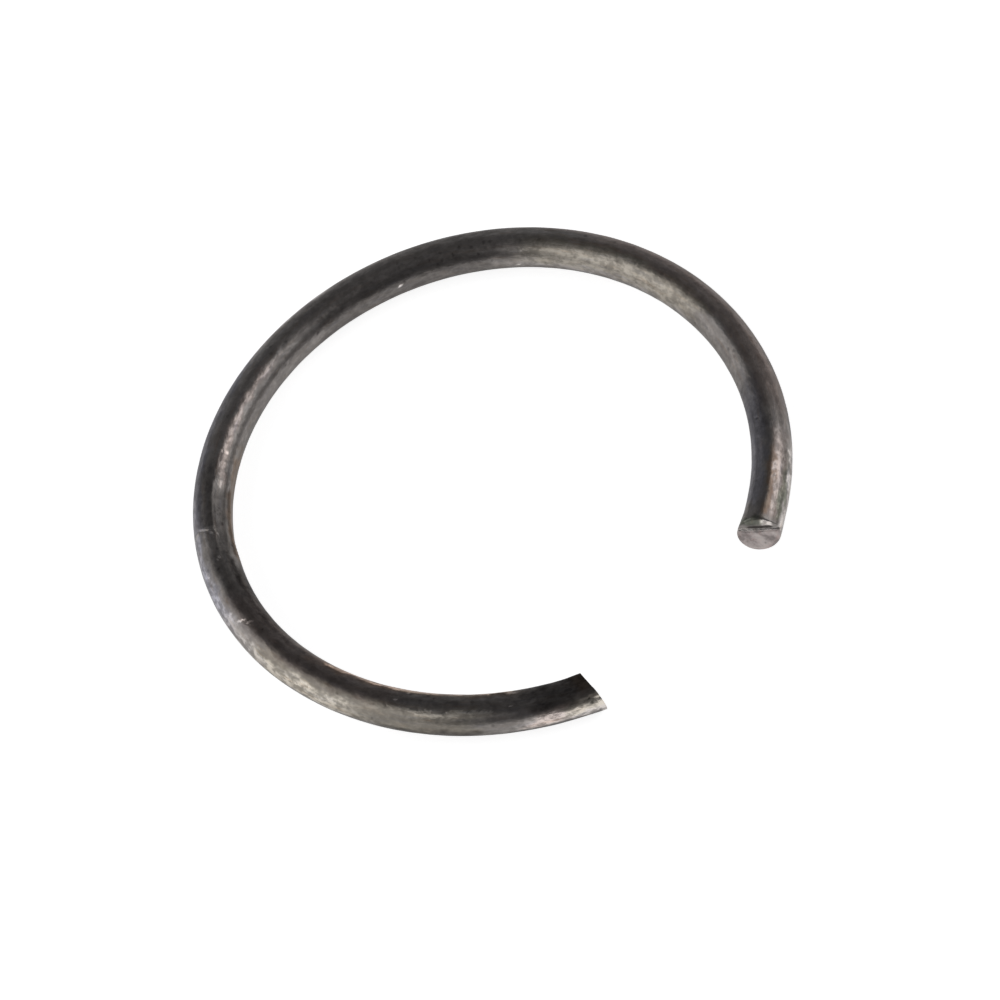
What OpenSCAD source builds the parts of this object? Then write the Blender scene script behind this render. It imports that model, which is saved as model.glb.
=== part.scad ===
// Round-wire retaining ring: one length of spring wire, bent round and cropped at both ends.
// The ring lies flat, with its axis on Z and the gap between its ends facing -Y.
// All sizes are in millimetres.

/* [Ring] */
// Outside diameter across the ring, unloaded
outer_d = 29.4; // [26:0.1:36]
// Diameter of the round wire
wire_d = 2; // [1.2:0.1:3]
// Extra bend radius of the front half, whose two ends stand a little open
front_ease = 1.2; // [0.4:0.1:3]
// Width of the gap, between the wire's centres at the two tips
gap_w = 11.4; // [9:0.1:16]

/* [Right tip] */
// Turn of the crop seen from above, in degrees: positive leaves the outside of the ring longer
right_slant = -13; // [-25:1:25]
// Lean of the crop seen from the side, in degrees: positive leaves the underside longer
right_lean = 14; // [0:1:25]
// Height above the wire's centre of the straight lip that the blade left
right_lip_h = 0.3; // [0.1:0.05:0.8]
// Set-back of the upright wall above that lip
right_ledge = 0.06; // [0.03:0.01:0.2]

/* [Left tip] */
// Turn of the crop seen from above, in degrees: positive leaves the outside of the ring longer
left_slant = 17; // [-25:1:25]
// Lean of the crop seen from the side, in degrees: positive leaves the underside longer
left_lean = 5; // [0:1:25]
// Length of the flat that the tool pressed on top of this tip
left_flat_l = 6; // [3:0.5:9]
// Depth of that flat at the tip, which runs out to nothing at its other end
left_flat_d = 0.22; // [0.1:0.02:0.4]

/* [Hidden] */
$fn = 72;

wire_r = wire_d / 2;
back_r = outer_d / 2 - wire_r;
front_r = back_r + front_ease;

// The front bends turn about centres that lie past the ring's own, so all three meet in line.
tip_angle = acos((gap_w / 2 + front_ease) / front_r);
tip = [gap_w / 2, -front_r * sin(tip_angle)];
// Each front bend is made this much long before its tip is cropped.
spare_angle = asin(wire_d / front_r);
// Side of the cutting blocks, wider than any crop
block = 4 * wire_d;

// Round wire bent to an arc about Z, from the X axis towards +Y
module wire_arc(r, angle)
    rotate_extrude(angle = angle)
        translate([r, 0])
            circle(r = wire_r);

// The right half of the front, turned over so that its arc runs towards -Y
module front_bend()
    translate([-front_ease, 0, 0])
        rotate([180, 0, 0])
            wire_arc(front_r, tip_angle + spare_angle);

// Puts what follows at the right tip, with X along the wire and out of its end
module at_tip()
    translate([tip.x, tip.y, 0])
        rotate([0, 0, -tip_angle - 90])
            children();

// A cutting block with one face at X = 0, from a height upwards
module block_above(h)
    translate([0, -block / 2, h])
        cube(block);

// Everything past the leaning face of a crop
module past_crop(slant, lean)
    rotate([0, -lean, -slant])
        block_above(-block / 2);

// What the right crop takes off: a leaning face under the lip, and an upright wall above it
module right_crop() {
    difference() {
        past_crop(right_slant, right_lean);
        translate([-block / 2, 0, 0])
            block_above(right_lip_h);
    }
    rotate([0, 0, -right_slant])
        translate([-right_lip_h * tan(right_lean) - right_ledge, 0, 0])
            block_above(right_lip_h);
}

// What the left crop and the pressed flat take off, seen from the right
module left_crop() {
    past_crop(left_slant, left_lean);
    translate([-left_flat_l, 0, wire_r])
        rotate([0, atan(left_flat_d / left_flat_l), 0])
            block_above(0);
}

// The whole ring, which is one piece of wire
module snap_ring()
    color("dimgray")
        difference() {
            union() {
                wire_arc(back_r, 180);
                front_bend();
                rotate([0, 180, 0])
                    front_bend();
            }
            at_tip()
                right_crop();
            mirror([1, 0, 0])
                at_tip()
                    left_crop();
        }

snap_ring();
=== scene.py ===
"""A retaining ring of round spring wire, cropped at both ends, lying on a pale floor."""

import math

import bmesh
import bpy
from bpy.props import FloatProperty, FloatVectorProperty, IntProperty, PointerProperty
from mathutils import Matrix, Vector, noise


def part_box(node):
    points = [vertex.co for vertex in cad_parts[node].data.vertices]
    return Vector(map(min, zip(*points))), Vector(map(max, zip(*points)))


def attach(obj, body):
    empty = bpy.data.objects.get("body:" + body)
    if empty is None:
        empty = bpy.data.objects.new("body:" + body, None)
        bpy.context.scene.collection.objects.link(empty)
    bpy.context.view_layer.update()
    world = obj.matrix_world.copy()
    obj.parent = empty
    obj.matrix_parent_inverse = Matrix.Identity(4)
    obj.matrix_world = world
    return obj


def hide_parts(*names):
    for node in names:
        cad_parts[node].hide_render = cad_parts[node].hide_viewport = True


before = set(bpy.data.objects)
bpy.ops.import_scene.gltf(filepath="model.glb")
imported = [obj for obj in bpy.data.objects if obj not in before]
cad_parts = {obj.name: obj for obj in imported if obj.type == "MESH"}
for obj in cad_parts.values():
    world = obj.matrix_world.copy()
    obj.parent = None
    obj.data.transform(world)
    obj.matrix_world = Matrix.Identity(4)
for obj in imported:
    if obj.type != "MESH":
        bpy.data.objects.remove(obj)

bl_info = {
    "name": "Wire Retaining Ring",
    "version": (1, 0, 0),
    "blender": (4, 5, 0),
    "location": "3D View > Sidebar > Wire Ring",
    "description": "Builds a worn retaining ring of round spring wire and a pale studio round it",
    "category": "Add Mesh",
}

NODE = "snap_ring"
MM = 0.001
CAD_LOW, CAD_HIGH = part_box(NODE)
TRACK = "straight_wire"
WEAR_AND_SHADE = "wear_and_shade"
TINT = "tint"

# Places on the ring are given on the wire as it was before bending: the length from the right tip
# in millimetres, and the turn round the wire in degrees, from the ring's outside (0) over the top
# (90). The lengths, widths, depths and heights below are in millimetres too.

# Flats that the forming tool pressed: start, end, length of the fade at each end, turn, half-width,
# most depth, softness of the long edges as a share of the wire's radius
FLATS = (
    (45.7, 52.4, 0.3, 2.2, 184, 22, 0.08, 0.04),
    (47.4, 52.5, 0.8, 0.5, 134, 33, 0.10, 0.04),
    (-1.0, 6.0, 0.1, 3.0, 52, 17, 0.05, 0.12),
    (69.5, 77.0, 3.0, 0.1, 97, 38, 0.22, 0.04),
    (75.15, 77.0, 0.08, 0.1, 4, 36, 0.04, 0.04),
    (50.42, 54.0, 0.05, 3.0, 62, 55, 0.03, 0.04),
)
# The last flat starts in a step that runs slantwise round the wire, and curves: its lead for each
# degree of turn, and for each degree squared
STEP_SLANT, STEP_CURVE = 0.0075, 0.00006
# Middle of the step's run, and how far from it the zones of wear keep straight edges
STEP_MIDDLE, STEP_REACH = 50.8, 1

# How steeply the front of a crop's lip rises to the foot of the wall above it
LIP_RISE = 2.1
# Softness of the wall's edges, as a share of the wire's radius: at its foot, and how much more at
# its top
WALL_SOFT, WALL_SOFTER = 0.04, 0.5
# How far back from a tip its crop still shears the wire, and spreads it, in radii of the wire
SHEAR_REACH, SPREAD_REACH = 5, 1.2

# Share by which the faces are shorter at the tips and at the step, and how far that reaches
FACE_SHORTENING, SHORT_REACH = 0.8, 1.6
# How far the edges of the zones below stray along the wire, and round it in degrees
STRAY_ALONG, STRAY_TURN = 0.8, 16
# Rings of faces that a crop is cut into, and the size of its torn grain
TORN_RINGS, TORN_GRAIN = 13, 0.34

# Zones where use has rubbed the oxide thin, or where it has stayed thick, and a few that paint shade
# as darker oxide: start, end, length of the fade at each end, turn, half-width, strength (1 is bare
# metal, less than 0 is thicker oxide, and in the marked zones painted shade).
# Across its width a zone is whole to 5/8 of the half-width and fades out by 5/4 of it.
OXIDE_AND_SHADE_ZONES = (
    (-1.0, 0.048, 0.05, 0.01, 100, 70, 0.80),
    (-1.0, 0.048, 0.05, 0.01, 150, 22, 1.50),
    # Painted shade: darkens the crease at the foot of the right tip's wall to the scale colour.
    (0.040, 0.085, 0.008, 0.012, 84, 36, -2.0),
    (0.085, 0.40, 0.02, 0.06, 122, 42, -0.45),
    (0.09, 0.25, 0.02, 0.12, 64, 17, 1.5),
    (0.50, 6.5, 0.5, 3.0, 50, 19, 0.42),
    (-1.0, 6.0, 1.0, 3.0, -8, 31, 1.0),
    (4.5, 9.5, 2.0, 1.0, 128, 40, -0.40),
    (13.5, 26.5, 3.0, 2.5, 150, 42, 0.19),
    (21.5, 33.0, 3.0, 3.0, 30, 42, -0.55),
    (23.0, 31.0, 2.0, 2.5, 12, 18, -0.90),
    # Partly thicker oxide, partly painted shade: darkens the inner flank where it reflects the
    # shadowed floor inside the ring.
    (26.3, 38.0, 1.0, 2.0, 168, 50, -0.42),
    (26.3, 38.5, 1.5, 2.0, 80, 60, -0.12),
    (34.0, 41.0, 2.0, 3.0, 22, 34, 0.50),
    (38.0, 48.5, 2.0, 1.0, 117, 9, 0.34),
    (46.0, 50.4, 1.5, 0.05, 82, 32, -0.45),
    (47.5, 50.35, 1.5, 0.05, 12, 30, 0.25),
    (47.6, 52.4, 0.8, 0.3, 134, 28, -0.35),
    (50.4, 57.5, 0.06, 2.0, 12, 32, 0.55),
    # Partly thicker oxide, partly painted shade: darkens the inner flank where it reflects the
    # shadowed floor inside the ring.
    (52.2, 60.0, 1.0, 3.0, 165, 44, -0.80),
    (52.2, 73.0, 0.6, 2.0, 104, 40, -0.40),
    (55.5, 65.0, 2.0, 3.0, 14, 31, 0.60),
    (60.5, 73.0, 2.0, 1.5, 150, 26, 0.62),
    (64.5, 70.8, 1.5, 1.2, -22, 28, -0.60),
    (65.0, 71.2, 1.0, 1.0, 62, 8, 0.30),
    (70.0, 74.7, 3.5, 0.5, 86, 48, -0.85),
    (70.8, 77.0, 2.8, 1.0, 8, 19, 0.82),
    (70.5, 75.3, 1.0, 0.4, -34, 20, -0.40),
    (74.0, 77.0, 0.5, 1.0, 112, 60, -0.90),
    (74.6, 77.0, 0.4, 0.1, 42, 18, 0.36),
    (75.06, 75.16, 0.09, 0.05, 20, 30, -1.3),
    (75.24, 77.0, 0.06, 0.1, 4, 36, 1.5),
)

# Tints that heat, oil and rust left in the oxide: start, end, length of the fade at each end, turn,
# half-width, name of the tint
TINTED_ZONES = (
    (0.1, 0.4, 0.02, 0.1, 122, 42, "olive"),
    (0.3, 5.0, 0.3, 3.0, 35, 9, "olive"),
    (0.2, 7.0, 0.3, 3.0, 54, 24, "rose"),
    (0.3, 6.0, 0.3, 3.0, 76, 9, "brown"),
    (0.5, 10.0, 1.0, 3.0, 132, 40, "violet"),
    (5.0, 28.0, 3.0, 3.0, 20, 36, "rose"),
    (6.0, 23.0, 2.0, 3.0, 74, 26, "rose"),
    (13.0, 26.5, 2.0, 2.5, 132, 42, "straw"),
    (39.0, 50.6, 2.0, 0.3, 25, 45, "violet"),
    (39.0, 48.0, 2.0, 1.0, 117, 14, "rose"),
    (45.0, 53.0, 1.0, 1.0, 178, 26, "brown"),
    (50.5, 57.0, 0.2, 3.0, 14, 40, "violet"),
    (54.0, 67.0, 2.0, 2.0, 120, 60, "rose"),
    (57.0, 71.0, 2.0, 2.0, 30, 44, "straw"),
    (60.0, 73.0, 2.0, 2.0, 155, 40, "brown"),
    (71.5, 74.5, 1.5, 1.0, 20, 30, "rose"),
    (73.5, 77.0, 1.0, 1.0, 30, 26, "straw"),
    (74.3, 77.0, 0.8, 1.0, 120, 60, "brown"),
)

# Scuffs that show bright metal: place along the wire, turn, length and width of the scuff, its own
# turn on the surface, depth
SCUFFS = (
    (50.76, 90, 0.26, 0.12, 60, 0.014),
    (50.90, 110, 0.18, 0.10, 75, 0.012),
    (45.85, 111, 0.16, 0.12, 20, 0.014),
    (45.82, 125, 0.20, 0.14, 10, 0.014),
    (52.38, 95, 0.34, 0.08, -50, 0.010),
    (53.05, 40, 0.30, 0.12, 70, 0.014),
    (53.96, 42, 0.26, 0.14, 55, 0.014),
    (55.60, 53, 0.20, 0.12, 40, 0.012),
    (56.33, 66, 0.50, 0.10, 62, 0.014),
    (56.70, 80, 0.42, 0.10, 70, 0.014),
    (66.38, 120, 0.14, 0.10, 0, 0.010),
    (71.57, 74, 0.16, 0.10, 30, 0.010),
    (65.92, 85, 0.20, 0.08, 20, 0.010),
    (31.90, 165, 0.30, 0.12, 20, 0.012),
    (25.50, 185, 0.30, 0.12, 10, 0.012),
)

# Heights of the finish's relief: mottled oxide, pits, and the grain of the crops
MOTTLE_HEIGHT, PIT_HEIGHT, GRAIN_HEIGHT = 0.010, 0.004, 0.012

# Soft lamps: name, azimuth and elevation in degrees, size in metres, level (1 looks white), colour
LAMPS = (
    ("left_panel", 150, 28, (0.95, 0.60), 1.3, (1, 1, 1)),
    ("right_panel", -28, 38, (0.60, 0.42), 1.4, (1, 1, 1)),
    ("back_panel", 60, 20, (0.60, 0.30), 0.3, (0.92, 0.96, 1.0)),
)
LAMP_DISTANCE = 0.6


class RingSizes(bpy.types.PropertyGroup):
    """Sizes of the ring and of the wire it is bent from"""

    outer_diameter: FloatProperty(
        name="Outside diameter", description="Across the ring, unloaded",
        default=CAD_HIGH.x - CAD_LOW.x, unit="LENGTH")
    wire_diameter: FloatProperty(
        name="Wire diameter", description="Diameter of the round wire",
        default=CAD_HIGH.z - CAD_LOW.z, unit="LENGTH")
    front_ease: FloatProperty(
        name="Front ease", description="Extra bend radius of the front half, whose ends stand open",
        default=1.2 * MM, unit="LENGTH")
    gap_width: FloatProperty(
        name="Gap width", description="Between the wire's centres at the two tips",
        default=11.4 * MM, unit="LENGTH")
    ripple: FloatProperty(
        name="Ripple", description="Unevenness that bending left in the wire's surface",
        default=0.005 * MM, unit="LENGTH")
    sides: IntProperty(
        name="Sides", description="Faces round the wire", default=88, min=16, max=128)
    face_length: FloatProperty(
        name="Face length", description="Length of each face along the wire",
        default=0.09 * MM, unit="LENGTH")


class TipSizes(bpy.types.PropertyGroup):
    """Sizes of the two cropped tips"""

    right_slant: FloatProperty(
        name="Right slant", description="Turn of the right crop seen from above",
        default=math.radians(-13), subtype="ANGLE", unit="ROTATION")
    right_lean: FloatProperty(
        name="Right lean", description="Lean of the right crop seen from the side",
        default=math.radians(14), subtype="ANGLE", unit="ROTATION")
    right_lip: FloatProperty(
        name="Right lip", description="Height above the wire's centre of the blade's straight edge",
        default=0.3 * MM, unit="LENGTH")
    right_draw: FloatProperty(
        name="Right draw", description="Length of wire that the blade drew down before it cut",
        default=0.3 * MM, unit="LENGTH")
    left_slant: FloatProperty(
        name="Left slant", description="Turn of the left crop seen from above",
        default=math.radians(17), subtype="ANGLE", unit="ROTATION")
    left_lean: FloatProperty(
        name="Left lean", description="Lean of the left crop seen from the side",
        default=math.radians(5), subtype="ANGLE", unit="ROTATION")
    left_lip: FloatProperty(
        name="Left lip", description="Height above the wire's centre of the blade's straight edge",
        default=0.93 * MM, unit="LENGTH")
    left_draw: FloatProperty(
        name="Left draw", description="Length of wire that the blade drew down before it cut",
        default=0.2 * MM, unit="LENGTH")
    notch: FloatProperty(
        name="Notch", description="How far the right lip stands out from the wall above it",
        default=0.05 * MM, unit="LENGTH")
    spread: FloatProperty(
        name="Spread", description="Share by which the wire is squeezed wider at its cropped tips",
        default=0.05, min=0.0, max=0.2, subtype="FACTOR")
    rim: FloatProperty(
        name="Rim", description="Width of the rounded rim of each crop",
        default=0.025 * MM, unit="LENGTH")
    tear: FloatProperty(
        name="Tear", description="Height of the torn grain on each crop",
        default=0.025 * MM, unit="LENGTH")


class WireFinish(bpy.types.PropertyGroup):
    """Colours and roughness of the oxidised spring wire"""

    steel: FloatVectorProperty(
        name="Steel", description="Bare and burnished steel", subtype="COLOR",
        size=3, min=0, max=1, default=(0.645, 0.600, 0.570))
    oxide: FloatVectorProperty(
        name="Oxide", description="Dark oxide over the steel", subtype="COLOR",
        size=3, min=0, max=1, default=(0.202, 0.187, 0.177))
    scale: FloatVectorProperty(
        name="Scale", description="Oxide at its thickest", subtype="COLOR",
        size=3, min=0, max=1, default=(0.050, 0.0450, 0.0425))
    violet: FloatVectorProperty(
        name="Violet tint", description="Shade that heat left in the oxide", subtype="COLOR",
        size=3, min=0, max=1, default=(0.84, 0.88, 1.0))
    rose: FloatVectorProperty(
        name="Rose tint", description="Shade that heat left in the oxide", subtype="COLOR",
        size=3, min=0, max=1, default=(1.0, 0.93, 0.91))
    olive: FloatVectorProperty(
        name="Olive tint", description="Shade that oil left in the oxide", subtype="COLOR",
        size=3, min=0, max=1, default=(0.90, 1.0, 0.90))
    straw: FloatVectorProperty(
        name="Straw tint", description="Shade that heat left in the oxide", subtype="COLOR",
        size=3, min=0, max=1, default=(1.0, 0.985, 0.90))
    brown: FloatVectorProperty(
        name="Brown tint", description="Shade that rust left in the oxide", subtype="COLOR",
        size=3, min=0, max=1, default=(1.0, 0.86, 0.74))
    fresh: FloatVectorProperty(
        name="Cropped steel", description="Torn steel of the crops, which has less oxide",
        subtype="COLOR", size=3, min=0, max=1, default=(0.31, 0.272, 0.264))
    smooth: FloatProperty(
        name="Smoothest", description="Roughness where the wire is burnished",
        default=0.25, min=0, max=1, subtype="FACTOR")
    rough: FloatProperty(
        name="Roughest", description="Roughness where the oxide is thick",
        default=0.36, min=0, max=1, subtype="FACTOR")
    torn: FloatProperty(
        name="Torn", description="Roughness of the crops",
        default=0.42, min=0, max=1, subtype="FACTOR")


class StudioSetup(bpy.types.PropertyGroup):
    """Camera, floor and room"""

    azimuth: FloatProperty(
        name="Azimuth", description="Camera's place round the ring; 0 looks along +Y",
        default=math.radians(-28.1), subtype="ANGLE", unit="ROTATION")
    elevation: FloatProperty(
        name="Elevation", description="Camera's height above the horizon",
        default=math.radians(52.85), subtype="ANGLE", unit="ROTATION")
    roll: FloatProperty(
        name="Roll", description="Turn of the ring in the picture, anticlockwise",
        default=math.radians(20.14), subtype="ANGLE", unit="ROTATION")
    distance: FloatProperty(
        name="Distance", description="From the camera to the ring's centre",
        default=0.411, unit="LENGTH")
    aim_right: FloatProperty(
        name="Aim right", description="How far the camera looks to the right of the centre",
        default=0.611 * MM, unit="LENGTH")
    aim_down: FloatProperty(
        name="Aim down", description="How far the camera looks below the centre",
        default=1.223 * MM, unit="LENGTH")
    lens: FloatProperty(
        name="Lens", description="Focal length in millimetres",
        default=304.5, subtype="DISTANCE_CAMERA")
    floor_size: FloatProperty(
        name="Floor size", description="Side of the square floor", default=4.0, unit="LENGTH")
    floor_glow: FloatProperty(
        name="Floor glow", description="Light that the floor gives off to the camera and the metal",
        default=0.82, min=0)
    room: FloatVectorProperty(
        name="Room", description="Colour of the dim room round the floor",
        subtype="COLOR", size=3, min=0, max=1, default=(0.15, 0.15, 0.155))


def mesh_object(name, bm, materials):
    """A finished piece from a bmesh, at the origin, with its materials in slot order."""
    mesh = bpy.data.meshes.new(name)
    bm.to_mesh(mesh)
    bm.free()
    for material in materials:
        mesh.materials.append(material)
    piece = bpy.data.objects.new(name, mesh)
    bpy.context.scene.collection.objects.link(piece)
    return piece


def eased(share):
    """A share from 0 to 1, eased at both ends."""
    share = max(0.0, min(1.0, share))
    return share * share * (3 - 2 * share)


class WirePath:
    """The wire's centreline: a back half-circle and two front bends that stand a little open."""

    def __init__(self, sizes):
        self.wire_r = sizes.wire_diameter / 2
        self.back_r = sizes.outer_diameter / 2 - self.wire_r
        self.ease = sizes.front_ease
        self.front_r = self.back_r + self.ease
        self.tip_angle = math.acos((sizes.gap_width / 2 + self.ease) / self.front_r)
        self.front_length = self.front_r * self.tip_angle
        self.back_length = self.back_r * math.pi
        self.length = self.back_length + 2 * self.front_length

    def straighten(self, p):
        """A point of the bent wire, on the straight wire: length from the right tip, outward, up."""
        if p.y >= 0:
            along = self.front_length + self.back_r * math.atan2(p.y, p.x)
            return Vector((along, math.hypot(p.x, p.y) - self.back_r, p.z))
        side = 1 if p.x > 0 else -1
        x = side * p.x + self.ease
        turn = self.front_r * math.atan2(-p.y, x)
        along = self.front_length - turn
        if side < 0:
            along = self.length - along
        return Vector((along, math.hypot(x, p.y) - self.front_r, p.z))

    def bend(self, q):
        """The reverse of straighten."""
        along, outward, up = q
        if self.front_length <= along <= self.front_length + self.back_length:
            turn = (along - self.front_length) / self.back_r
            r = self.back_r + outward
            return Vector((r * math.cos(turn), r * math.sin(turn), up))
        side = 1 if along < self.front_length else -1
        near = along if side > 0 else self.length - along
        turn = (self.front_length - near) / self.front_r
        r = self.front_r + outward
        return Vector((side * (r * math.cos(turn) - self.ease), -r * math.sin(turn), up))


class Tip:
    """One cropped tip of the straight wire."""

    def __init__(self, slant, lean, lip, draw, notch, spread):
        self.slant, self.lean = math.tan(slant), math.tan(lean) / math.cos(slant)
        self.lip, self.draw, self.notch, self.spread = lip, draw, notch, spread

    def shape(self, near, outward, up, wire_r):
        """Where a point this near to the tip goes: cut to the wall, spread, sheared to the crop."""
        grip = eased(1 - near / (SHEAR_REACH * wire_r))
        if grip == 0:
            return near, outward, up
        # The lip slopes up to the foot of an upright wall, which rounds over into the wire's top.
        rounding = (near - self.notch) / self.draw * math.pi / 2
        if rounding < math.pi / 2:
            rise = math.sin(max(0, rounding))
            soft = (WALL_SOFT + WALL_SOFTER * rise) * wire_r
            ceiling = self.lip + (wire_r + soft - self.lip) * rise
            ceiling += min(0, near - self.notch) * LIP_RISE
            overlap = max(0, 1 - abs(up - ceiling) / soft)
            up = min(up, ceiling) - overlap * overlap * soft / 4
            if rounding > 0:
                near = self.notch + self.draw * (1 - math.cos(rounding))
        outward *= 1 + self.spread * eased(1 - near / (SPREAD_REACH * wire_r))
        return near + grip * (self.lean * min(up, self.lip) - self.slant * outward), outward, up


def straight_wire(bm, path, sizes):
    """A straight length of round wire along X, from tip to tip, cut into short faces."""
    ring = bmesh.ops.create_circle(
        bm, cap_ends=False, segments=sizes.sides, radius=path.wire_r)["verts"]
    bmesh.ops.rotate(bm, verts=ring, cent=(0, 0, 0), matrix=Matrix.Rotation(math.pi / 2, 3, "Y"))
    drawn = bmesh.ops.extrude_edge_only(bm, edges=bm.edges)["geom"]
    far = [g for g in drawn if isinstance(g, bmesh.types.BMVert)]
    bmesh.ops.translate(bm, verts=far, vec=(path.length, 0, 0))
    lengthwise = [e for e in bm.edges if e.calc_length() > path.length / 2]
    cuts = round(path.length / sizes.face_length) - 1
    bmesh.ops.subdivide_edges(bm, edges=lengthwise, cuts=cuts, use_grid_fill=True)


def gather(along, path):
    """Shortens the faces at both tips and at the pressed step, where the shape is finest."""
    for centre in (0, FLATS[-1][0] * MM, path.length):
        off = along - centre
        along = centre + off * (1 - FACE_SHORTENING * math.exp(-(off / (SHORT_REACH * MM)) ** 4))
    return along


def turned(turn, centre):
    """The turn from a centre, from -180 to 180 degrees."""
    return (turn - centre + 180) % 360 - 180


def pressed(along, turn, wire_r):
    """Depth of the forming tool's flats at a place on the wire."""
    depth = 0
    for flat in FLATS:
        start, end, first, last, centre, half_width, most, edge = flat
        away = turned(turn, centre)
        # A flat cuts down to a chord. The least divisor keeps clear of 0, away from the flat.
        cut = 1 - math.cos(math.radians(half_width)) / max(0.2, math.cos(math.radians(away)))
        if cut <= -edge:
            continue
        if cut < edge:
            cut = (cut + edge) ** 2 / (4 * edge)
        lead = STEP_SLANT * away - STEP_CURVE * away * away if flat is FLATS[-1] else 0
        place = along / MM - lead
        share = eased((place - start) / first) * eased((end - place) / last)
        depth = max(depth, share * min(cut * wire_r, most * MM))
    return depth


def scuffed(along, turn, wire_r):
    """Share of bared metal and depth of the scuffs at a place on the wire."""
    share = depth = 0
    for place, centre, length, width, slope, deep in SCUFFS:
        x = along - place * MM
        if abs(x) > length * MM:
            continue
        y = math.radians(turned(turn, centre)) * wire_r
        c, s = math.cos(math.radians(slope)), math.sin(math.radians(slope))
        off = math.hypot((x * c + y * s) / (length * MM / 2), (y * c - x * s) / (width * MM / 2))
        mark = eased(1.5 - off)
        if mark > share:
            share, depth = mark, mark * deep * MM
    return share, depth


def zone_share(zone, along, turn):
    """Share, from 0 to 1, of a zone at a place on the wire."""
    start, end, first, last, centre, half_width = zone[:6]
    reach = eased((along / MM - start) / first) * eased((end - along / MM) / last)
    away = abs(turned(turn, centre)) / half_width
    return reach * eased(2 - 1.6 * away)


def worn(along, turn):
    """Wear of the oxide at a place on the wire, and the shade painted in a few zones: the strongest
    of the zones there.
    """
    return max((zone[6] * zone_share(zone, along, turn) for zone in OXIDE_AND_SHADE_ZONES), key=abs)


def tinted(along, turn, finish):
    """Tint of the oxide at a place on the wire."""
    tint = Vector((1, 1, 1))
    for zone in TINTED_ZONES:
        share = zone_share(zone, along, turn)
        if share > 0:
            tint *= Vector((1, 1, 1)).lerp(Vector(getattr(finish, zone[6])), share)
    return tint


def rippled(place):
    """Height of the ripples at a place on the straight wire, before it is scaled."""
    long_waves = noise.noise(Vector((place.x / 3, place.y, place.z)) * 1.6)
    return noise.noise(place * 1.8) + 1.5 * long_waves


def astray(along, turn, place, path):
    """A place moved a little and unevenly, which roughens the zones' edges away from the tips."""
    stray = noise.noise(Vector((place.x / 2, place.y, place.z)) * 2.5 + Vector((9, 0, 0)))
    stray += 0.4 * noise.noise(place * 5)
    calm = eased(min(along, path.length - along) / MM)
    off_step = abs(along / MM - STEP_MIDDLE) > STEP_REACH
    return along + STRAY_ALONG * MM * stray * calm * off_step, turn + STRAY_TURN * stray * calm


def form_wire(bm, path, sizes, tips, finish):
    """Presses, scuffs, crops and bends the straight wire, and notes how worn its oxide is, the shade
    painted on it, and its tint.
    """
    wear_and_shade, tint = bm.verts.layers.float.new(WEAR_AND_SHADE), bm.verts.layers.float_color.new(TINT)
    right = Tip(
        tips.right_slant, tips.right_lean, tips.right_lip, tips.right_draw, tips.notch, tips.spread)
    left = Tip(tips.left_slant, tips.left_lean, tips.left_lip, tips.left_draw, 0, tips.spread)
    for v in bm.verts:
        along = gather(v.co.x, path)
        turn = math.degrees(math.atan2(v.co.z, v.co.y))
        share, depth = scuffed(along, turn, path.wire_r)
        place = Vector((along, v.co.y, v.co.z)) / MM
        # The ripples are set back, so that they hardly stand out of the wire's own diameter.
        depth += pressed(along, turn, path.wire_r) - sizes.ripple * (rippled(place) - 1.5)
        strayed = astray(along, turn, place, path)
        # One attribute holds the wear of the oxide and, in a few zones, painted shade.
        v[wear_and_shade] = max(share, worn(*strayed), key=abs)
        v[tint] = (*tinted(*strayed, finish), 1)
        outward, up = v.co.y * (1 - depth / path.wire_r), v.co.z * (1 - depth / path.wire_r)
        if along < path.length / 2:
            along, outward, up = right.shape(along, outward, up, path.wire_r)
        else:
            near, outward, up = left.shape(path.length - along, outward, up, path.wire_r)
            along = path.length - near
        v.co = path.bend((along, outward, up))


def crop_faces(bm, tips):
    """Fills the two crops, rounds their rims and roughens them like torn steel."""
    for side in (1, -1):
        rim = [e for e in bm.edges if e.is_boundary and e.verts[0].co.x * side > 0]
        crop = bmesh.ops.contextual_create(bm, geom=rim)["faces"][0]
        crop.material_index = 1
        bmesh.ops.bevel(
            bm, geom=rim, offset=tips.rim, offset_type="OFFSET", segments=2, profile=0.5,
            affect="EDGES", material=-1, clamp_overlap=True)
        near_tip = (f for f in bm.faces if f.calc_center_median().x * side > 0)
        crop = max(near_tip, key=lambda f: len(f.verts))
        crop.material_index = 1
        crop.normal_update()
        normal, centre = crop.normal.copy(), crop.calc_center_median()
        torn = {}
        for ring in range(TORN_RINGS):
            faces = bmesh.ops.inset_region(bm, faces=[crop], thickness=0)["faces"]
            torn.update((v, min(1, ring / 3)) for f in faces for v in f.verts)
            smaller = 1 - 1 / (TORN_RINGS + 0.5 - ring)
            bmesh.ops.scale(
                bm, vec=(smaller,) * 3, verts=crop.verts, space=Matrix.Translation(-centre))
        for v, share in torn.items():
            grain = noise.fractal(v.co / (TORN_GRAIN * MM), 1.0, 2.1, 4)
            v.co -= normal * tips.tear * share * (1 + grain)


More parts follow.
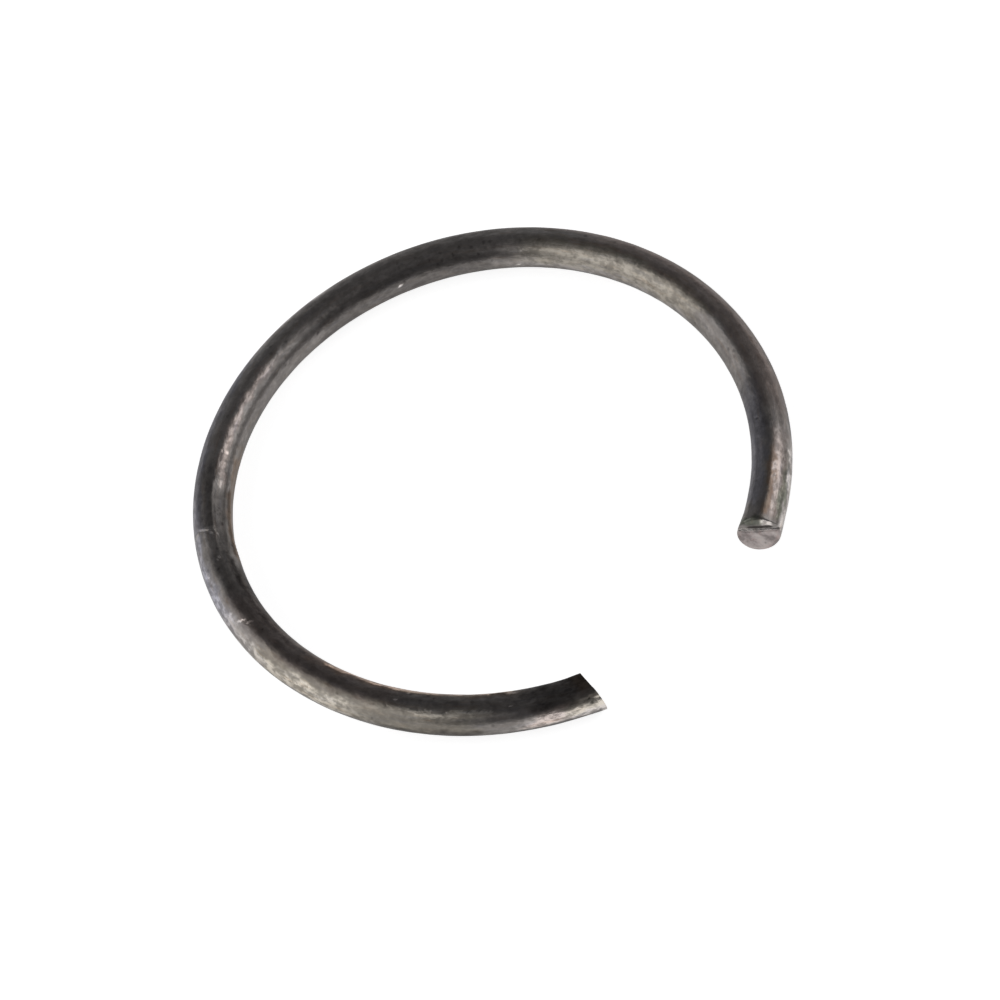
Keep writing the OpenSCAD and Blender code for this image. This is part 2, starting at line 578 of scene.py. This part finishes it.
class MESH_OT_wire_ring(bpy.types.Operator):
    """Build the ring from a straight wire: pressed and scuffed, cropped, and bent round"""

    bl_idname = "mesh.wire_ring"
    bl_label = "Wire ring"

    def execute(self, context):
        sizes, tips = context.scene.ring_sizes, context.scene.tip_sizes
        finish = context.scene.wire_finish
        path = WirePath(sizes)
        bm = bmesh.new()
        straight_wire(bm, path, sizes)
        form_wire(bm, path, sizes, tips, finish)
        crop_faces(bm, tips)
        bmesh.ops.recalc_face_normals(bm, faces=bm.faces)
        for f in bm.faces:
            f.smooth = True
        track = bm.verts.layers.float_vector.new(TRACK)
        for v in bm.verts:
            v[track] = path.straighten(v.co)
        piece = mesh_object("worn_snap_ring", bm, [oxidised_wire(finish), cropped_steel(finish)])
        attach(piece, "root")
        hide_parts(NODE)
        return {"FINISHED"}


def add(tree, kind, inputs=None, **settings):
    """A new node with its settings, and with each input set to a value or linked to a socket."""
    node = tree.nodes.new(kind)
    for name, value in settings.items():
        setattr(node, name, value)
    for name, value in (inputs or {}).items():
        if isinstance(value, bpy.types.NodeSocket):
            tree.links.new(value, node.inputs[name])
        else:
            node.inputs[name].default_value = value
    return node


def new_group(name, inputs, outputs):
    """A shader node group with named sockets: its tree, its input node and its output node."""
    tree = bpy.data.node_groups.new(name, "ShaderNodeTree")
    for label, kind, default in inputs:
        socket = tree.interface.new_socket(label, in_out="INPUT", socket_type=kind)
        if default is not None:
            socket.default_value = default
    for label, kind in outputs:
        tree.interface.new_socket(label, in_out="OUTPUT", socket_type=kind)
    return tree, tree.nodes.new("NodeGroupInput"), tree.nodes.new("NodeGroupOutput")


def place_group(tree, name, build, inputs):
    """A group node with its inputs set, that holds the named group, built at its first use."""
    group = bpy.data.node_groups.get(name) or build(name)
    return add(tree, "ShaderNodeGroup", inputs, node_tree=group)


def wire_mottle(name):
    """Group of soft patches, and of finer streaks along the wire, with sizes in millimetres."""
    tree, given, out = new_group(
        name,
        [("Vector", "NodeSocketVector", None), ("Patch size", "NodeSocketFloat", 0.5),
         ("Streak width", "NodeSocketFloat", 0.16), ("Streak length", "NodeSocketFloat", 1.2)],
        [("Patches", "NodeSocketFloat"), ("Streaks", "NodeSocketFloat"),
         ("Hue", "NodeSocketFloat")])
    ratio = add(tree, "ShaderNodeMath", {
        0: given.outputs["Streak width"], 1: given.outputs["Streak length"]}, operation="DIVIDE")
    squash = add(tree, "ShaderNodeCombineXYZ", {"X": ratio.outputs[0], "Y": 1.0, "Z": 1.0})
    stretched = add(tree, "ShaderNodeVectorMath", {
        0: given.outputs["Vector"], 1: squash.outputs[0]}, operation="MULTIPLY")
    longer = add(tree, "ShaderNodeVectorMath", {
        0: given.outputs["Vector"], 1: (0.65, 1.0, 1.0)}, operation="MULTIPLY")
    for label, place, size, low, high in (
        ("Patches", longer, "Patch size", 0.34, 0.66),
        ("Streaks", stretched, "Streak width", 0.32, 0.68),
    ):
        scale = add(tree, "ShaderNodeMath", {0: 1 / MM, 1: given.outputs[size]}, operation="DIVIDE")
        cloud = add(tree, "ShaderNodeTexNoise", {
            "Vector": place.outputs[0], "Scale": scale.outputs[0], "Detail": 4.0, "Roughness": 0.6})
        even = add(tree, "ShaderNodeMapRange", {
            "Value": cloud.outputs["Fac"], "From Min": low, "From Max": high},
            interpolation_type="SMOOTHSTEP")
        tree.links.new(even.outputs["Result"], out.inputs[label])
    split = add(tree, "ShaderNodeSeparateColor", {"Color": cloud.outputs["Color"]})
    tree.links.new(split.outputs["Green"], out.inputs["Hue"])
    return tree


def fine_pits(name):
    """Group of small scattered pits, as a mask and as a height, with spacing in millimetres."""
    tree, given, out = new_group(
        name,
        [("Vector", "NodeSocketVector", None), ("Spacing", "NodeSocketFloat", 0.32),
         ("Share", "NodeSocketFloat", 0.15)],
        [("Mask", "NodeSocketFloat"), ("Height", "NodeSocketFloat")])
    scale = add(tree, "ShaderNodeMath", {
        0: 1 / MM, 1: given.outputs["Spacing"]}, operation="DIVIDE")
    wide = add(tree, "ShaderNodeVectorMath", {
        0: given.outputs["Vector"], "Scale": scale.outputs[0]}, operation="SCALE")
    stir = add(tree, "ShaderNodeTexNoise", {"Vector": wide.outputs[0], "Scale": 2.0, "Detail": 2.0})
    stirred = add(tree, "ShaderNodeVectorMath", {
        0: stir.outputs["Color"], 1: (0.5, 0.5, 0.5), 2: wide.outputs[0]}, operation="MULTIPLY_ADD")
    cells = add(tree, "ShaderNodeTexVoronoi", {"Vector": stirred.outputs[0], "Scale": 1.0})
    pick = add(tree, "ShaderNodeSeparateColor", {"Color": cells.outputs["Color"]})
    chosen = add(tree, "ShaderNodeMath", {
        0: pick.outputs["Red"], 1: given.outputs["Share"]}, operation="LESS_THAN")
    hollow = add(tree, "ShaderNodeMapRange", {
        "Value": cells.outputs["Distance"], "From Min": 0.42, "From Max": 0.12},
        interpolation_type="SMOOTHSTEP")
    mask = add(tree, "ShaderNodeMath", {
        0: chosen.outputs[0], 1: hollow.outputs["Result"]}, operation="MULTIPLY")
    tree.links.new(mask.outputs[0], out.inputs["Mask"])
    height = add(tree, "ShaderNodeMath", {0: 1.0, 1: mask.outputs[0]}, operation="SUBTRACT")
    tree.links.new(height.outputs[0], out.inputs["Height"])
    return tree


def new_material(name):
    """A new material, its node tree and its shader."""
    material = bpy.data.materials.new(name)
    material.use_nodes = True
    tree = material.node_tree
    return material, tree, tree.nodes["Principled BSDF"]


def blended(tree, share, first, second):
    """The socket of a colour that goes from the first to the second."""
    mix = add(tree, "ShaderNodeMix", data_type="RGBA")
    factor, from_colour, to_colour = mix.inputs["Factor"], mix.inputs[6], mix.inputs[7]
    for socket, value in ((factor, share), (from_colour, first), (to_colour, second)):
        if isinstance(value, bpy.types.NodeSocket):
            tree.links.new(value, socket)
        else:
            socket.default_value = value
    return mix.outputs[2]


def times(tree, first, second):
    """The product of two numbers or sockets."""
    return add(tree, "ShaderNodeMath", {0: first, 1: second}, operation="MULTIPLY").outputs[0]


def plus(tree, first, second):
    """The sum of two numbers or sockets."""
    return add(tree, "ShaderNodeMath", {0: first, 1: second}, operation="ADD").outputs[0]


def shaded(tree, colour, shade):
    """The socket of a colour multiplied by a shade."""
    product = add(tree, "ShaderNodeMix", {"Factor": 1.0}, data_type="RGBA", blend_type="MULTIPLY")
    tree.links.new(colour, product.inputs[6])
    tree.links.new(shade, product.inputs[7])
    return product.outputs[2]


def ranged(tree, value, from_min, from_max, to_min, to_max):
    """A value carried from one range to another."""
    return add(tree, "ShaderNodeMapRange", {
        "Value": value, "From Min": from_min, "From Max": from_max,
        "To Min": to_min, "To Max": to_max}).outputs["Result"]


def oxidised_wire(finish):
    """Dark oxidised spring wire, mottled along its length, worn to bright steel in places, and
    darkened by painted shade in a few.
    """
    material, tree, steel = new_material("oxidised_spring_wire")
    links = tree.links
    track = add(tree, "ShaderNodeAttribute", attribute_name=TRACK).outputs["Vector"]
    wear_and_shade = add(tree, "ShaderNodeAttribute", attribute_name=WEAR_AND_SHADE).outputs["Fac"]
    tint = add(tree, "ShaderNodeAttribute", attribute_name=TINT).outputs["Color"]
    mottle = place_group(tree, "Wire mottle", wire_mottle, {"Vector": track}).outputs
    flecks = place_group(tree, "Wire mottle", wire_mottle, {
        "Vector": track, "Patch size": 0.22, "Streak width": 0.09, "Streak length": 0.5}).outputs
    pits = place_group(tree, "Fine pits", fine_pits, {"Vector": track}).outputs

    uneven = plus(tree, times(tree, mottle["Patches"], 0.75), times(tree, mottle["Streaks"], 0.25))
    uneven = plus(tree, times(tree, uneven, 0.55), times(tree, flecks["Patches"], 0.45))
    # Wear above 0 bares the steel, most where the oxide is thin, and a little is bare all over.
    bared = ranged(tree, wear_and_shade, 0.0, 1.0, 0.0, 1.0)
    bared = times(tree, bared, ranged(tree, uneven, 0.28, 0.66, 0.35, 1.2))
    exposed = ranged(tree, wear_and_shade, 0.0, -1.0, 1.0, 0.2)
    rubbed = times(tree, ranged(tree, uneven, 0.5, 0.9, 0.0, 0.12), exposed)
    bared = plus(tree, bared, rubbed)
    # Wear below 0 leaves thicker oxide, and in the marked zones paints shade; the mottle's low
    # places and the pits leave thicker oxide too.
    thick_and_shade = ranged(tree, wear_and_shade, 0.0, -1.0, 0.0, 1.0)
    thick_and_shade = plus(tree, thick_and_shade, ranged(tree, uneven, 0.5, 0.15, 0.0, 0.20))
    thick_and_shade = plus(tree, thick_and_shade, times(tree, pits["Mask"], 0.35))
    colour = blended(tree, thick_and_shade, (*finish.oxide, 1), (*finish.scale, 1))
    colour = blended(tree, bared, colour, (*finish.steel, 1))

    # A faint drift of the hue goes with the mottle, over the tints of the zones.
    cool = ranged(tree, mottle["Hue"], 0.45, 0.25, 0.0, 0.6)
    warm = ranged(tree, mottle["Hue"], 0.55, 0.75, 0.0, 0.6)
    colour = shaded(tree, colour, tint)
    colour = shaded(tree, colour, blended(tree, cool, (1, 1, 1, 1), (*finish.violet, 1)))
    colour = shaded(tree, colour, blended(tree, warm, (1, 1, 1, 1), (*finish.brown, 1)))
    links.new(colour, steel.inputs["Base Color"])

    links.new(ranged(tree, bared, 0.0, 0.8, finish.rough, finish.smooth), steel.inputs["Roughness"])
    coarse = add(tree, "ShaderNodeBump", {
        "Strength": 1.0, "Distance": MOTTLE_HEIGHT * MM, "Height": uneven})
    fine = add(tree, "ShaderNodeBump", {
        "Strength": 1.0, "Distance": PIT_HEIGHT * MM, "Height": pits["Height"],
        "Normal": coarse.outputs["Normal"]})
    links.new(fine.outputs["Normal"], steel.inputs["Normal"])
    steel.inputs["Metallic"].default_value = 1
    steel.inputs["Specular Tint"].default_value = (0.55, 0.55, 0.55, 1)
    return material


def cropped_steel(finish):
    """Torn steel of the cropped tips, dulled and specked with oxide."""
    material, tree, steel = new_material("cropped_steel")
    links = tree.links
    track = add(tree, "ShaderNodeAttribute", attribute_name=TRACK).outputs["Vector"]
    mottle = place_group(tree, "Wire mottle", wire_mottle, {
        "Vector": track, "Patch size": 0.5, "Streak width": 0.3, "Streak length": 0.6}).outputs
    pits = place_group(tree, "Fine pits", fine_pits, {
        "Vector": track, "Spacing": 0.4, "Share": 0.3}).outputs
    bright = ranged(tree, mottle["Patches"], 0.3, 1.0, 0.0, 0.28)
    dulled = ranged(tree, mottle["Patches"], 0.3, 0.0, 0.0, 0.4)
    colour = blended(tree, bright, (*finish.fresh, 1), (*finish.steel, 1))
    colour = blended(tree, dulled, colour, (*finish.scale, 1))
    colour = blended(tree, times(tree, pits["Mask"], 0.8), colour, (*finish.scale, 1))
    rust = ranged(tree, mottle["Hue"], 0.5, 0.65, 0.0, 1.0)
    colour = shaded(tree, colour, blended(tree, rust, (1, 1, 1, 1), (*finish.rose, 1)))
    links.new(colour, steel.inputs["Base Color"])
    grain = add(tree, "ShaderNodeBump", {
        "Strength": 1.0, "Distance": GRAIN_HEIGHT * MM, "Height": mottle["Streaks"]})
    links.new(grain.outputs["Normal"], steel.inputs["Normal"])
    steel.inputs["Metallic"].default_value = 1
    steel.inputs["Roughness"].default_value = finish.torn
    return material


def pale_floor(glow):
    """Floor that keeps the ring's shadow, and that the camera and the metal both see as white."""
    material, tree, matt = new_material("pale_floor")
    matt.inputs["Base Color"].default_value = (0.6, 0.6, 0.6, 1)
    matt.inputs["Roughness"].default_value = 0.9
    matt.inputs["Specular IOR Level"].default_value = 0
    matt.inputs["Emission Color"].default_value = (1, 1, 1, 1)
    rays = add(tree, "ShaderNodeLightPath").outputs
    seen = add(tree, "ShaderNodeMath", {
        0: rays["Is Camera Ray"], 1: rays["Is Glossy Ray"]}, operation="MAXIMUM")
    seen = add(tree, "ShaderNodeMath", {
        0: seen.outputs[0], 1: rays["Is Transmission Ray"]}, operation="MAXIMUM")
    lit = add(tree, "ShaderNodeMath", {0: seen.outputs[0], 1: glow}, operation="MULTIPLY")
    tree.links.new(lit.outputs[0], matt.inputs["Emission Strength"])
    return material


def panel_lamp(name, azimuth, elevation, size, level, colour):
    """A soft rectangular lamp that faces the ring; level is how bright it looks, 1 being white."""
    lamp = bpy.data.lights.new(name, "AREA")
    lamp.shape = "RECTANGLE"
    lamp.size, lamp.size_y = size
    lamp.energy = level * math.pi * size[0] * size[1]
    lamp.color = colour
    holder = bpy.data.objects.new(name, lamp)
    a, e = math.radians(azimuth), math.radians(elevation)
    out = Vector((math.cos(a) * math.cos(e), math.sin(a) * math.cos(e), math.sin(e)))
    holder.location = out * LAMP_DISTANCE
    holder.rotation_mode = "QUATERNION"
    holder.rotation_quaternion = out.to_track_quat("Z", "Y")
    bpy.context.scene.collection.objects.link(holder)


class SCENE_OT_wire_ring_stage(bpy.types.Operator):
    """Build the pale floor, the soft lamps, the world and the camera"""

    bl_idname = "scene.wire_ring_stage"
    bl_label = "Stage"

    def execute(self, context):
        studio = context.scene.wire_studio
        scene = context.scene
        scene.view_settings.view_transform = "Standard"

        bm = bmesh.new()
        bmesh.ops.create_grid(bm, x_segments=1, y_segments=1, size=studio.floor_size / 2)
        bmesh.ops.translate(bm, verts=bm.verts, vec=(0, 0, CAD_LOW.z))
        mesh_object("pale_floor", bm, [pale_floor(studio.floor_glow)])

        world = bpy.data.worlds.new("dim_studio")
        scene.world = world
        world.use_nodes = True
        room = world.node_tree.nodes["Background"]
        room.inputs["Color"].default_value = (*studio.room, 1)
        room.inputs["Strength"].default_value = 1.0
        for lamp in LAMPS:
            panel_lamp(*lamp)

        a, e, roll = studio.azimuth, studio.elevation, studio.roll
        back = Vector((math.sin(a) * math.cos(e), -math.cos(a) * math.cos(e), math.sin(e)))
        level = Vector((math.cos(a), math.sin(a), 0))
        upright = back.cross(level)
        right = level * math.cos(roll) - upright * math.sin(roll)
        up = level * math.sin(roll) + upright * math.cos(roll)
        lens = bpy.data.cameras.new("camera")
        lens.lens = studio.lens
        lens.sensor_width = 36
        lens.clip_start, lens.clip_end = 0.02, 20
        camera = bpy.data.objects.new("camera", lens)
        camera.location = (
            back * studio.distance + right * studio.aim_right - up * studio.aim_down)
        camera.rotation_mode = "QUATERNION"
        camera.rotation_quaternion = Matrix((right, up, back)).transposed().to_quaternion()
        scene.collection.objects.link(camera)
        scene.camera = camera
        return {"FINISHED"}


class VIEW3D_PT_wire_ring(bpy.types.Panel):
    """Sizes, finish and studio of the wire ring, and the buttons that build them"""

    bl_label = "Wire Ring"
    bl_space_type = "VIEW_3D"
    bl_region_type = "UI"
    bl_category = "Wire Ring"

    def draw(self, context):
        scene = context.scene
        for operator, groups in (
            (MESH_OT_wire_ring, (scene.ring_sizes, scene.tip_sizes, scene.wire_finish)),
            (SCENE_OT_wire_ring_stage, (scene.wire_studio,)),
        ):
            box = self.layout.box()
            for group in groups:
                for name in group.__annotations__:
                    box.prop(group, name)
            box.operator(operator.bl_idname)


GROUPS = {
    "ring_sizes": RingSizes,
    "tip_sizes": TipSizes,
    "wire_finish": WireFinish,
    "wire_studio": StudioSetup,
}
CLASSES = (*GROUPS.values(), MESH_OT_wire_ring, SCENE_OT_wire_ring_stage, VIEW3D_PT_wire_ring)


def register():
    for cls in CLASSES:
        bpy.utils.register_class(cls)
    for name, group in GROUPS.items():
        setattr(bpy.types.Scene, name, PointerProperty(type=group))


def unregister():
    for name in GROUPS:
        delattr(bpy.types.Scene, name)
    for cls in reversed(CLASSES):
        bpy.utils.unregister_class(cls)


def main():
    """Builds everything in order."""
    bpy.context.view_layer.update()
    register()
    bpy.ops.mesh.wire_ring()
    bpy.ops.scene.wire_ring_stage()


if __name__ == "__main__":
    main()
